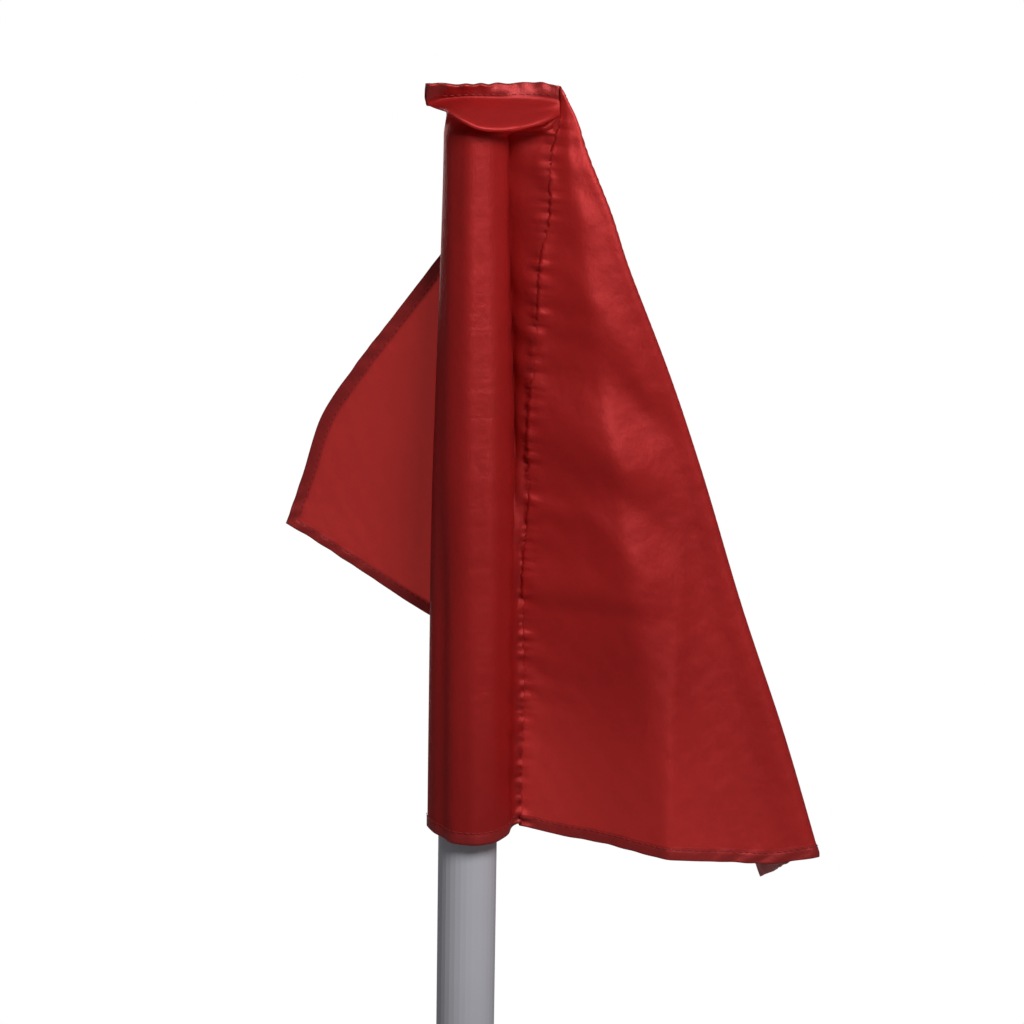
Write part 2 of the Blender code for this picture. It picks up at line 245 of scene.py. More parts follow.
class Nodes:
    """A new node material with a Principled shader, and short ways to add nodes to it."""

    def __init__(self, name):
        self.mat = bpy.data.materials.new(name)
        self.mat.use_nodes = True
        self.tree = self.mat.node_tree
        self.shader = self.tree.nodes["Principled BSDF"]
        self.output = self.tree.nodes["Material Output"]

    def add(self, kind, inputs=None, **settings):
        """A new node, its settings, and its inputs, each from a socket or a plain value."""
        node = self.tree.nodes.new("ShaderNode" + kind)
        for key, value in settings.items():
            setattr(node, key, value)
        for key, value in (inputs or {}).items():
            if isinstance(value, bpy.types.NodeSocket):
                self.tree.links.new(value, node.inputs[key])
            else:
                node.inputs[key].default_value = value
        return node

    def set(self, **values):
        """Sets the shader's inputs, named with _ for each space."""
        for key, value in values.items():
            self.put(key.replace("_", " "), value)

    def put(self, key, value):
        """Sets one input of the shader, from a socket or a plain value."""
        if isinstance(value, bpy.types.NodeSocket):
            self.tree.links.new(value, self.shader.inputs[key])
        else:
            self.shader.inputs[key].default_value = value

    def math(self, operation, a, b=0.0):
        return self.add("Math", {0: a, 1: b}, operation=operation).outputs[0]

    def noise(self, vector, scale, detail=2.0, roughness=0.5):
        inputs = {"Vector": vector, "Scale": scale, "Detail": detail, "Roughness": roughness}
        return self.add("TexNoise", inputs).outputs["Fac"]

    def spread(self, value, low, high, start=0.0, end=1.0):
        """The value stretched from start..end to low..high."""
        ends = {"From Min": start, "From Max": end, "To Min": low, "To Max": high}
        return self.add("MapRange", {"Value": value, **ends}).outputs["Result"]

    def blend(self, share, a, b):
        """The colour that is a where the share is 0, and b where it is 1."""
        node = self.add("Mix", data_type="RGBA")
        for socket, value in ((node.inputs[0], share), (node.inputs[6], a), (node.inputs[7], b)):
            if isinstance(value, bpy.types.NodeSocket):
                self.tree.links.new(value, socket)
            else:
                socket.default_value = value
        return node.outputs[2]

    def bump(self, height, distance):
        self.put("Normal", self.add("Bump", {"Height": height, "Distance": distance}).outputs["Normal"])


def nylon(name, colour, shadow):
    """Plain-woven nylon: fine threads both ways, a soft sheen, dye and handling that vary slowly, and hems
    painted darker as painted shade.
    """
    made = Nodes(name)
    cloth = made.add("UVMap", uv_map="cloth").outputs["UV"]
    place = made.add("TexCoord").outputs["Object"]
    split = made.add("SeparateXYZ", {0: cloth})
    thread_pitch = 0.00045
    warp = made.math("SINE", made.math("MULTIPLY", split.outputs[0], tau / thread_pitch))
    weft = made.math("SINE", made.math("MULTIPLY", split.outputs[1], tau / thread_pitch))
    weave = made.math("MULTIPLY", warp, weft)
    lengthened = made.add("Mapping", {"Vector": cloth, "Scale": (1.0, 0.08, 1.0)}).outputs[0]
    slubs = made.noise(lengthened, 1400.0, 1.0)
    crinkle = made.noise(place, 160.0, 3.0, 0.55)
    height = made.math("ADD", made.math("MULTIPLY", weave, 0.10), made.math("MULTIPLY", slubs, 0.25))
    height = made.math("ADD", height, made.math("MULTIPLY", crinkle, 1.6))
    made.bump(height, 0.00025)
    tone = made.noise(place, 14.0, 3.0, 0.6)
    fine = made.spread(slubs, -0.10, 0.10)
    tone = made.math("ADD", made.spread(tone, 0.0, 1.0, 0.3, 0.7), fine)
    base = made.blend(tone, (*shadow, 1.0), (*colour, 1.0))
    in_hem = made.add("Attribute", attribute_name="in_hem").outputs["Fac"]
    # painted shade: the hems are painted darker, for the light that their three layers hold back
    hem_painted_shade = (*(0.55 * c for c in shadow), 1.0)
    made.put("Base Color", made.blend(made.spread(in_hem, 0.0, 0.55), base, hem_painted_shade))
    # dyed filament reflects in its own colour, so part of the gloss is tinted like a metal's
    made.put("Metallic", 0.50)
    made.put("Roughness", made.spread(crinkle, 0.40, 0.50))
    made.put("Specular IOR Level", 0.55)
    # light passes through one layer, and much less through a hem's three
    glow = made.add("BsdfTranslucent", {"Color": (0.95, 0.27, 0.25, 1.0)})
    share = made.spread(in_hem, 0.52, 0.08)
    both = made.add("MixShader", {0: share, 1: made.shader.outputs[0], 2: glow.outputs[0]})
    made.tree.links.new(both.outputs[0], made.output.inputs["Surface"])
    return made.mat


def painted_shade_thread():
    """Twisted polyester thread, painted darker than the cloth as painted shade, so the stitches read like the
    cloth in shade.
    """
    found = bpy.data.materials.get("painted_shade_thread")
    if found:
        return found
    made = Nodes("painted_shade_thread")
    place = made.add("TexCoord").outputs["Object"]
    fibres = made.noise(place, 2500.0, 2.0)
    # painted shade: the thread takes the colour of the cloth in shade
    base = made.blend(fibres, (0.20, 0.010, 0.010, 1.0), (0.28, 0.014, 0.014, 1.0))
    made.set(Base_Color=base, Roughness=0.60)
    made.bump(fibres, 0.00005)
    return made.mat


def moulded(name, dark, light, roughness):
    """Smooth moulded or drawn plastic: fine grain, slow variation, and hairline scratches along the pole."""
    made = Nodes(name)
    place = made.add("TexCoord").outputs["Object"]
    slow = made.noise(place, 9.0, 3.0)
    drawn = made.add("Mapping", {"Vector": place, "Scale": (1.0, 1.0, 0.02)}).outputs[0]
    lines = made.noise(drawn, 900.0, 2.0, 0.6)
    base = made.blend(made.spread(slow, 0.0, 1.0, 0.35, 0.65), (*dark, 1.0), (*light, 1.0))
    made.set(Base_Color=base, Roughness=made.spread(lines, roughness - 0.05, roughness + 0.08))
    made.put("Specular IOR Level", 0.4)
    made.bump(lines, 0.00002)
    return made.mat


def turned_metal(name, colour, roughness, rings=2600.0):
    """Lathe-turned metal: fine rings round the axis, and smears of dulled surface."""
    made = Nodes(name)
    place = made.add("TexCoord").outputs["Object"]
    across = made.add("Mapping", {"Vector": place, "Scale": (0.02, 0.02, 1.0)}).outputs[0]
    marks = made.noise(across, rings, 2.0)
    dulled = made.noise(place, 60.0, 4.0, 0.6)
    dull_colour = (*(0.86 * c for c in colour), 1.0)
    base = made.blend(made.spread(dulled, 0.0, 1.0, 0.35, 0.7), (*colour, 1.0), dull_colour)
    made.set(Base_Color=base, Metallic=1.0, Roughness=made.spread(dulled, roughness - 0.06, roughness + 0.14))
    made.bump(marks, 0.00003)
    return made.mat


def dress_frame():
    """Better materials for the CAD pieces that stay."""
    pole = moulded("pole_plastic", (0.440, 0.435, 0.475), (0.480, 0.475, 0.515), 0.42)
    white = moulded("white_plastic", (0.74, 0.74, 0.72), (0.84, 0.84, 0.82), 0.40)
    black = moulded("black_plastic", (0.030, 0.030, 0.033), (0.055, 0.055, 0.060), 0.45)
    aluminium = turned_metal("aluminium", (0.74, 0.75, 0.77), 0.30)
    steel = turned_metal("spring_steel", (0.55, 0.55, 0.56), 0.26, 4000.0)
    dress = {"lower_pole": pole, "upper_pole": pole, "top_bush": white, "swivel_cap": white,
             "joint_collar": black, "ferrule": aluminium, "joint_spigot": aluminium,
             "spigot_rivet_upper": aluminium, "spigot_rivet_lower": aluminium, "ferrule_pin": steel,
             "cap_clip": steel}
    for node, mat in dress.items():
        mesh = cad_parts[node].data
        for index in range(len(mesh.materials)):
            mesh.materials[index] = mat


# ---------------------------------------------------------------- pocket


TOP_FADE = 0.012  # how far above the shoulder the gathers and folds of the wall reach
GATHER_FORWARD, GATHER_OUT = 0.0012, 0.0007  # how far the largest gathers move the cloth


def seam_at(z):
    """The seam's place at each height: how far out, and how far back."""
    keys = np.array(SEAM) * MM
    place = through(keys[:, 2], keys[:, :2], np.clip(z, keys[0, 2], keys[-1, 2]))
    return place[..., 0], place[..., 1]


def on_wall(z):
    """1 up to the shoulder, and fading to 0 over the closed top."""
    return smooth((TOP_FADE - z) / TOP_FADE)


def pucker(z):
    """Gathers that the stitching pulls into the cloth along the seam, from -1 to 1."""
    fine = wave(z, 0.0053, 2.2 * wave(z, 0.037) + 1.1 * wave(z, 0.0137))
    coarse = wave(z, 0.0089, 2.1 + 1.5 * wave(z, 0.061))
    return (0.6 * fine + 0.4 * coarse) * (0.75 + 0.25 * wave(z, 0.029, 0.6))


def gathered(places, from_seam, reach):
    """Moves cloth by the gathers at the seam, which fade out over the reach. The closed top has none."""
    z = places[..., 2]
    share = hump(from_seam, 0, reach) * on_wall(z)
    moved = places.copy()
    moved[..., 1] -= GATHER_FORWARD * pucker(z) * share
    moved[..., 0] += GATHER_OUT * pucker(z * 1.31 + 0.05) * share
    return moved


CURVE_POINTS = 40  # in each curve of the front wall, before it is read again at even places


def hermite(a, from_a, b, into_b):
    """The curve from a to b that leaves a along from_a and comes into b along into_b."""
    t = np.linspace(0, 1, CURVE_POINTS)[:, None]
    ease = t * t * (3 - 2 * t)
    return a * (1 - ease) + b * ease + from_a * t * (1 - t) ** 2 + into_b * t * t * (t - 1)


# The pocket's grid: columns once round it, from the seam by the front, and levels up its wall
POCKET_COLUMNS = 132
POCKET_LEVELS = 260
WALL_COLUMNS = 18  # of them between the seam and the round part, in front
VALLEY_COLUMN = 14  # the one that runs along the crease at the top
TOP_ROWS = 44  # over the closed top
VALLEY_FOOT = -0.180  # the height at which the crease runs out

SNUG_R, LOOSE_R = 0.0139, 0.0190  # of the round part, at the top and low down
LOOSE_OUT = 0.0011  # how far the loose part's middle lies towards the seam
# Angles are round the axis, from the front towards the seam.
# Where the front wall leaves the round part, at the top and low down
FRONT_LEAVES = (radians(84), radians(57))
# The flat on the free side, low down
FLAT_SIDE, FLAT_SPREAD = radians(-47), radians(21)
FLAT_DEPTH = 0.0026
# The crease at the top, between the round part and the wall that comes forward to the seam
VALLEY = radians(103)
VALLEY_OUT = 1.02  # the crease's distance from the axis, in radii of the round part
VALLEY_BOW = np.array([-0.40, 0.12])  # of the wall from the seam to the crease, as a share of its width

CREASE_DEPTH = 0.00055  # of the short creases that run in from the seam
EDGE_DROP, EDGE_LIFT = 0.0024, 0.0018  # of the lower edge, in front and beside the seam
# The small scallops along the top hem's edge: their length, and how far they move it up and back
SCALLOP, SCALLOP_UP, SCALLOP_BACK = 0.0083, 0.00028, 0.00055


def pocket_ring(z):
    """Once round the pocket at one height, from the seam by the front, the free side and the back."""
    seam = np.array([float(place) for place in seam_at(z)])
    loose = float(smooth(-z / 0.200))
    radius = SNUG_R + (LOOSE_R - SNUG_R) * loose
    centre = np.array([LOOSE_OUT * loose, 0.0])
    flat_depth = FLAT_DEPTH * float(smooth((-0.120 - z) / 0.100))

    def on_round(angle):
        # low down the loose cloth lies flat on the free side and breaks forwards in a soft edge
        reach = radius - flat_depth * hump(angle, FLAT_SIDE, FLAT_SPREAD)
        return centre + reach[..., None] * np.stack([np.sin(angle), -np.cos(angle)], axis=-1)

    leave_angle = FRONT_LEAVES[0] + (FRONT_LEAVES[1] - FRONT_LEAVES[0]) * loose
    leaves = on_round(leave_angle)

    # low down the wall meets the seam in one sweep
    reach = np.linalg.norm(seam - leaves) * 1.3
    heading = leave_angle + radians(10)
    into_round = -reach * np.array([cos(heading), sin(heading)])
    sweep = hermite(seam, reach * np.array([-1, -0.07]), leaves, into_round)
    # at the top it turns in to a crease, and comes forward from that to the seam
    valley = on_round(VALLEY) * VALLEY_OUT
    half_way = seam + (seam[0] - valley[0]) * VALLEY_BOW
    t = np.linspace(0, 1, CURVE_POINTS)[:, None]
    to_valley = seam * (1 - t) ** 2 + 2 * half_way * t * (1 - t) + valley * t * t
    points = CURVE_POINTS // 2
    closer = np.linspace(VALLEY_OUT, 1, points)[:, None]
    beside_pole = on_round(np.linspace(VALLEY, leave_angle, points)) * closer
    creased = np.concatenate([evenly(to_valley, VALLEY_COLUMN + 1)[:-1],
                              evenly(beside_pole, WALL_COLUMNS - VALLEY_COLUMN + 1)])
    low = float(smooth((-0.090 - z) / 0.140))
    front = creased + (evenly(sweep, WALL_COLUMNS + 1) - creased) * low

    # the rest goes round the pole, and straight from there to the seam
    back_meets = pi / 2 + np.arccos(min(1.0, radius / np.linalg.norm(seam - centre)))
    around = on_round(np.linspace(leave_angle, back_meets - tau, 5 * CURVE_POINTS))
    back = np.linspace(around[-1], seam, points)
    rest = evenly(np.concatenate([around, back[1:]]), POCKET_COLUMNS - WALL_COLUMNS + 1)
    ring = np.concatenate([front[:-1], rest[:-1]])
    return np.column_stack([ring, np.full(len(ring), z)])


def closed_ring(front, back):
    """Once round the closed top, from listed points: seam to free end in front, and back again."""
    half = POCKET_COLUMNS // 2

    def run(points):
        points = np.array(points) * MM
        along = run_length(points)
        return through(along, points, np.linspace(0, along[-1], half + 1))

    return np.concatenate([run(front)[:-1], run(back)[:-1]])


# The closed top, upwards: each ring's points in front, from the seam to the free end, and then back again
TOP_RINGS = [
    # under the ridge, drawn in over the cap's edge and deepest on the free side
    ([(32.4, -1.6, 3.4), (27, -4.6, 2.4), (18, -9.0, 2.6), (9, -10.8, 3.0), (1, -9.8, 4.8),
      (-6, -7.0, 6.4), (-10.5, -4.0, 7.2), (-13.2, -1.0, 5.4)],
     [(-13.2, -1.0, 5.4), (-9.5, 9.6, 3.8), (0, 13.4, 2.8), (10, 12.6, 2.8), (22, 8.0, 3.0),
      (32.4, -0.4, 3.4)]),
    # the ridge that hangs over the cap's edge
    ([(35.8, -0.4, 8.6), (27, -9.4, 5.4), (18, -15.0, 4.0), (9, -19.4, 3.8), (1, -20.6, 4.8),
      (-6, -20.4, 8.2), (-11.6, -16.6, 11.2), (-13.2, -4.0, 9.8)],
     [(-12.8, -2.0, 9.2), (-10.5, 9.2, 6.8), (0, 13.0, 5.8), (10, 12.4, 5.8), (22, 8.4, 6.6),
      (35.8, 0.4, 9.0)]),
    # the slope above it
    ([(35.8, 0.8, 12.2), (27, -3.6, 10.6), (18, -7.4, 9.6), (9, -9.6, 9.8), (1, -9.8, 10.6),
      (-6, -8.8, 12.0), (-12.5, -5.0, 12.0), (-19.4, 3.0, 10.6)],
     [(-19.4, 3.0, 10.6), (-10.5, 8.6, 9.8), (0, 11.0, 9.4), (10, 10.8, 9.4), (22, 7.8, 9.8),
      (35.8, 1.4, 11.4)]),
    # the stitch line that closes the top
    ([(35.7, 1.8, 15.4), (27, 3.4, 15.6), (18, 3.2, 15.2), (9, 3.4, 15.2), (1, 3.3, 15.3),
      (-9, 3.6, 15.2), (-16, 4.0, 14.4), (-22.2, 5.0, 12.8)],
     [(-22.2, 5.0, 12.8), (-9, 5.6, 15.2), (0, 5.8, 15.3), (10, 5.8, 15.3), (22, 5.0, 15.5),
      (35.7, 1.8, 15.4)]),
    # half way up the hem that stands above it
    ([(35.6, 1.9, 18.0), (27, 3.8, 18.8), (18, 4.6, 18.2), (9, 3.2, 17.9), (1, 2.9, 17.9),
      (-9, 1.9, 17.8), (-16, 2.2, 17.4), (-22.2, 3.8, 17.2)],
     [(-22.2, 3.8, 17.2), (-9, 5.2, 17.8), (0, 6.0, 17.9), (10, 6.4, 18.0), (22, 6.4, 18.3),
      (35.6, 1.9, 18.0)]),
    # the hem's edge
    ([(35.5, 2.0, 20.6), (27, 5.6, 21.4), (18, 6.0, 21.0), (9, 4.0, 20.6), (1, 1.6, 20.6),
      (-9, 0.0, 20.5), (-16, 0.2, 20.8), (-21.8, 1.6, 21.0)],
     [(-21.8, 1.6, 21.0), (-9, 0.5, 20.5), (0, 2.1, 20.6), (10, 4.5, 20.7), (22, 6.3, 21.2),
      (35.5, 2.0, 20.6)]),
]
RIDGE_RING, STITCH_RING = 1, 3  # which of the rings is the ridge, and which closes the top


def pocket_places():
    """The pocket's grid: level rings up to the shoulder, then the listed rings of its closed top."""
    levels = np.linspace(SEAM[0][2] * MM, 0.0, POCKET_LEVELS)
    wall = np.array([pocket_ring(z) for z in levels])
    rings = [closed_ring(front, back) for front, back in TOP_RINGS]
    # the cloth turns under the ridge in a tight fold
    in_front = smooth(-rings[RIDGE_RING][:, 1] / 0.006)[:, None]
    turned = rings[RIDGE_RING] + in_front * np.array([0.0, 0.0024, -0.0006])
    # the curve over the top starts from the wall's own slope
    below = [wall[-6], wall[-1]]
    keys = np.array(below + rings[:RIDGE_RING] + [turned] + rings[RIDGE_RING:])
    gaps = np.linalg.norm(np.diff(keys, axis=0), axis=-1).mean(axis=1)
    at = np.concatenate([[0.0], np.cumsum(gaps)])
    stitches_at = at[len(below) + 1 + STITCH_RING]
    places_up = np.linspace(at[1], at[-1], TOP_ROWS)[1:]
    top = through(at, keys, places_up)
    # the hem's edge runs in small scallops, which end before the seam
    out = top[..., 0]
    standing = smooth((places_up - stitches_at) / (at[-1] - stitches_at))[:, None]
    standing = standing * smooth((0.0345 - out) / 0.006)
    top[..., 2] += SCALLOP_UP * standing * wave(out, SCALLOP, 1.2 * wave(out, 0.031))
    top[..., 1] += SCALLOP_BACK * standing * wave(out, SCALLOP, 1.9)
    stitch_row = len(levels) + int(np.searchsorted(places_up, stitches_at)) + 1
    return np.concatenate([wall, top]), stitch_row


def outward_of(places):
    """Unit normals of the pocket's grid, away from its inside."""
    normals = unit(np.cross(np.gradient(places, axis=0), np.gradient(places, axis=1)))
    in_front = normals[0, POCKET_COLUMNS // 4]
    return normals * np.sign(-in_front[1])


def keep_off_pole(places):
    """Pushes the wall out to the pole's surface where it would pass through it."""
    clear = POLE_R + CLOTH
    reach = np.linalg.norm(places[..., :2], axis=-1)
    too_near = (reach < clear) & (places[..., 2] < DOME_HEIGHT * 0.1)
    push = np.where(too_near, clear / np.maximum(reach, 1e-6), 1.0)
    moved = places.copy()
    moved[..., :2] *= push[..., None]
    return moved


def make_pocket(mat):
    """The pocket, its grid's places, each row's distance up the cloth, and the row that closes the top."""
    places, stitch_row = pocket_places()
    rows = len(places)
    share = np.arange(POCKET_COLUMNS) / POCKET_COLUMNS
    z = places[:, :, 2]
    from_seam = np.minimum(share, 1 - share)[None, :] * POCKET_ROUND
    front = smooth((0.46 - share) / 0.08)[None, :]
    # long soft folds down the wall, and short creases that run in from the seam
    angle = share[None, :] * tau
    long_folds = 0.00022 * np.sin(angle * 7 + z * 9) + 0.00016 * np.sin(angle * 12 - z * 17 + 1.0)
    creases = CREASE_DEPTH * wave(z - from_seam * 0.55, 0.023, 1.3 * wave(z, 0.09))
    creases = creases * hump(from_seam, 0, 0.016) * front
    calm = on_wall(z) * smooth(from_seam / 0.004)
    places = places + outward_of(places) * ((long_folds + creases) * calm)[..., None]
    places = gathered(places, from_seam, 0.0036)
    # the lower edge hangs a little lower in front and lifts towards the seam
    low = smooth((SEAM[0][2] * MM + 0.012 - z) / 0.012)
    in_front = smooth(-places[..., 1] / LOOSE_R)
    places[..., 2] -= low * (EDGE_DROP * in_front - EDGE_LIFT * hump(from_seam, 0, 0.008))
    places = keep_off_pole(places)
    run = run_length(places[:, 0])
    flat = np.stack(np.broadcast_arrays(share[None, :] * POCKET_ROUND, run[:, None]), axis=-1)
    foot_hem = smooth((HEM - run[:, None]) / 0.0006)
    top_hem = smooth((np.arange(rows)[:, None] - stitch_row + 2) / 2)
    # the hems are thicker, and the material paints them darker as painted shade
    hem = np.broadcast_to(np.maximum(foot_hem, top_hem), (rows, POCKET_COLUMNS))
    valley_foot = int(np.searchsorted(z[:, 0], VALLEY_FOOT))
    creased = [(0, 0, rows), (VALLEY_COLUMN, valley_foot, POCKET_LEVELS)]
    pocket = cloth_mesh("flag_pocket_cloth", places, flat, mat, hem, round_about=True, creased=creased)
    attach(pocket, "pocket")
    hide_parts("flag_pocket")
    return pocket, places, run, stitch_row


# ---------------------------------------------------------------- fly


# How far into the cloth the seam's curve moves it out, and back
SEAM_REACH_OUT, SEAM_REACH_BACK = 0.060, 0.110

# Soft folds in the front of the fly, as lines across it from its top to its foot, in mm. Each line gives its
# height, and how far it stands forward of the plain cloth, at each distance out from the axis. Hollows stand
# back, and are negative.
RELIEF_OUT = (30, 44, 52, 60, 68, 76, 84, 92)
RELIEF = [
    ((8, 8, 8, 8, 8, 8, 8, 8), (0, 0, 0, 0, 0, 0, 0, 0)),
    ((-16, -19, -25, -34, -42, -50, -58, -66), (-0.2, -0.2, -0.1, 0, 0, 0, 0, 0)),
    ((-32, -33, -38, -46, -54, -62, -70, -78), (0.4, 0.4, 0.2, 0, 0, 0, 0, 0)),
    ((-46, -47, -52, -60, -68, -76, -84, -90), (-0.3, -0.3, 0.3, 0.3, 0.3, 0.3, 0.3, 0.2)),
    ((-56, -62, -71, -82, -92, -104, -112, -118), (0.6, 0.9, 1.3, 1.5, 1.5, 1.3, 1.0, 0.5)),
    ((-99, -101, -103, -108, -115, -121, -124, -127), (-0.6, -1.1, -1.5, -1.7, -1.6, -1.3, -0.6, 0)),
    ((-131, -132, -134, -138, -144, -147, -150, -152), (1.8, 2.1, 2.2, 2.3, 2.4, 2.2, 1.8, 1.0)),
    ((-153, -155, -157, -158, -161, -166, -173, -177), (-0.2, -0.4, -0.6, -0.8, -0.7, -0.3, 0, 0.2)),
    ((-166, -167, -168, -176, -186, -193, -197, -198), (0.5, 0.6, 0.7, 0.9, 1.3, 1.6, 1.5, 1.0)),
    ((-182, -184, -186, -192, -196, -199, -200, -201), (0.1, 0.1, 0.1, 0.5, 1.1, 1.4, 1.3, 0.9)),
    ((-202, -202, -202, -202, -203, -203, -204, -204), (1.2, 1.2, 1.1, 0.9, 1.0, 1.1, 1.0, 0.8)),
    ((-214, -214, -214, -214, -214, -215, -216, -217), (-1.0, -1.0, -0.9, -0.9, -0.8, -0.5, 0, 0.4)),
    ((-240, -240, -240, -240, -240, -241, -242, -243), (-1.4, -1.4, -1.5, -1.5, -1.5, -1.2, -0.5, 0.2)),
    ((-322, -322, -322, -322, -322, -322, -322, -322), (0, 0, 0, 0, 0, 0, 0, 0)),
]
# The crest that stands up along the front of the fly, from its foot: (up, out from the axis), mm
CREST = [(-335, 90.0), (-302, 91.0), (-249, 91.0), (-214, 93.0), (-173, 93.0), (-130, 90.0)]
CREST_FORWARD = 0.0009
CREST_ROUND, CREST_FALL = 0.0009, 0.0040  # the roundness of its top, and how fast it falls away

# The cloth comes forward in a broad tent along the hoist, whose top lies a little further out higher up
TENT_FORWARD = 0.0035
TENT_OUT, TENT_SLANT = 0.0885, 0.004
BULGE_FORWARD = 0.0017  # half way up, between the seam and the tent's top
RIPPLE_FORWARD = 0.00025  # of the small ripples beside the seam
FOLD_LEAN = 0.0045  # how far the fold leans forward near its top
WAVE_BACK = 0.0022  # the size of the slow waves behind
HEM_RIPPLE, CLOTH_RIPPLE = 0.00042, 0.00008  # the size of the ripples in the hems, and all over
TUCK = np.array([-0.0007, 0.0003, 0.0])  # how far the fly's edge is caught between the pocket's walls


def relief(x, z):
    """How far the soft folds stand forward at each place."""
    keys = np.array(RELIEF_OUT) * MM
    out = np.clip(x, keys[0], keys[-1])
    lines = [[through(keys, np.array(row) * MM, out) for row in line] for line in RELIEF]
    forward = np.zeros(x.shape)
    for (above, above_by), (below, below_by) in zip(lines[:-1], lines[1:]):
        share = (above - z) / np.maximum(above - below, 0.001)
        between = (share >= 0) & (share < 1)
        forward = np.where(between, above_by + (below_by - above_by) * smooth(share), forward)
    return forward * (1 - 0.85 * smooth((x - 0.086) / 0.020))


def crest(x, z):
    """The crest's share of its full height at each place."""
    keys = np.array(CREST) * MM
    away = x - through(keys[:, 0], keys[:, 1], np.clip(z, keys[0, 0], keys[-1, 0]))
    return np.exp(-(np.hypot(away, CREST_ROUND) - CREST_ROUND) / CREST_FALL) * smooth((-0.125 - z) / 0.030)


def ray_field():
    """Directions in which the cloth leaves the seam's top, by the angle on the flat cloth from the seam."""
    edges = [(along * MM, HOIST, place) for along, place in BOTTOM_EDGE]
    edges += [(FLY, down * MM, place) for down, place in END_EDGE]
    angles = [np.arctan2(along, down) for along, down, _ in edges]
    reaches = [(np.array(place) * MM - SEAM_TOP) / np.hypot(along, down) for along, down, place in edges]
    return angles, reaches


def seam_line(down):
    """The straight line from the seam's top to its foot, at each distance down the hoist."""
    foot = np.array(BOTTOM_EDGE[0][1]) * MM
    return SEAM_TOP + (foot - SEAM_TOP) * (down / HOIST)[..., None]


def hung_from_top(along, down, angle):
    """The cloth on rays from the seam's top to its edges, bent to the seam's curve and the top edge's bow."""
    angles, reaches = ray_field()
    places = SEAM_TOP + np.hypot(along, down)[..., None] * through(angles, reaches, angle)
    straight = seam_line(down)
    seam_x, seam_y = seam_at(straight[..., 2])
    places[..., 0] += (seam_x - straight[..., 0]) * np.clip(1 - along / SEAM_REACH_OUT, 0, 1) ** 2
    places[..., 1] += (seam_y - straight[..., 1]) * np.clip(1 - along / SEAM_REACH_BACK, 0, 1) ** 1.5
    share = np.clip(along / FLY, 0, 1)
    shares, edge_places = zip(*TOP_EDGE)
    edge = through(shares, np.array(edge_places) * MM, share)
    bow = edge - (SEAM_TOP + (np.array(edge_places[-1]) * MM - SEAM_TOP) * share[..., None])
    bow_reach = 0.035 + 0.45 * along
    places += bow * (np.clip(1 - down / bow_reach, 0, 1) ** 1.5)[..., None]
    return places


def shape_fold(places, angle):
    """Moves the fold out from its straight ray, and leans it forward near its top."""
    z = places[..., 2]
    fold = np.array(FOLD) * MM
    foot = np.array(BOTTOM_EDGE[FOLD_POINT][1]) * MM
    ray_x = SEAM_TOP[0] + (foot[0] - SEAM_TOP[0]) * (SEAM_TOP[2] - z) / (SEAM_TOP[2] - foot[2])
    out = through(fold[:, 0], fold[:, 1], np.clip(z, fold[0, 0], fold[-1, 0])) - ray_x
    places[..., 0] += out * hump(angle, FOLD_ANGLE, radians(9))
    places[..., 1] -= FOLD_LEAN * hump(angle, FOLD_ANGLE, radians(12)) * hump(z, -0.055, 0.060)


def shape_front(places, along, down, front):
    """Moves the cloth in front forward: the tent, a slight bulge, soft folds, the crest and small ripples."""
    x = places[..., 0]
    z = places[..., 2]
    seam_x = seam_at(seam_line(down)[..., 2])[0]
    tent_x = TENT_OUT + TENT_SLANT * (z + 0.2)
    share = np.clip((x - seam_x) / np.maximum(tent_x - seam_x, 0.01), 0, 1)
    beyond = np.exp(-np.clip(x - tent_x, 0, 1) / 0.030)
    forward = TENT_FORWARD * np.where(x < tent_x, share ** 1.7, beyond) * smooth((-0.105 - z) / 0.215)
    forward += BULGE_FORWARD * np.sin(pi * share) * hump(z, -0.150, 0.075)
    forward += relief(x, z) * (0.65 + 0.35 * smooth(along / 0.010)) + CREST_FORWARD * crest(x, z)
    ripples = wave(z + 0.4 * along, 0.021, 2.6 * wave(z, 0.083))
    forward += RIPPLE_FORWARD * ripples * hump(along, 0, 0.020) * smooth(along / 0.004)
    places[..., 1] -= forward * front


def hem_ripples(along, down):
    """How far small ripples move the cloth: mostly in the hems, and a little all over."""
    free = np.minimum(np.minimum(FLY - along, HOIST - down), down + 0.04 * (along < 0.02))
    in_hem = wave(along + down, 0.0125, 1.4 * np.sin((along - down) * 47))
    uneven = 0.55 + 0.45 * wave(along - 0.7 * down, 0.071)
    all_over = wave(along, 0.0137, 1.1 * np.sin(along * 61)) * wave(down, 0.0151, 0.9)
    return HEM_RIPPLE * in_hem * uneven * hump(free, 0, HEM) + CLOTH_RIPPLE * all_over


def fly_places(along, down):
    """Where points of the flat fly hang: along the fly from the seam, and down the hoist."""
    angle = np.arctan2(along, np.maximum(down, 1e-9))
    places = hung_from_top(along, down, angle)
    shape_fold(places, angle)
    shape_front(places, along, down, smooth((FOLD_ANGLE - angle) / radians(7)))
    # behind, the cloth hangs in slow waves
    behind = smooth((angle - FOLD_ANGLE) / radians(10)) * smooth(np.hypot(along, down) / 0.15)
    places[..., 1] += WAVE_BACK * behind * wave(down, 0.19, along * 11) * wave(along, 0.21, 0.8)
    places = gathered(places, along, 0.0042)
    places[..., 1] += hem_ripples(along, down)
    return places


def finer_at_ends(start, end, step):
    """Places from start to end, close together in the hems and a wider step apart between them."""
    edge, close = 0.008, 0.0006
    near = np.linspace(0, edge, round(edge / close) + 1)
    middle = np.linspace(start + edge, end - edge, round((end - start - 2 * edge) / step) + 1)
    return np.concatenate([start + near[:-1], middle, end - near[::-1][1:]])


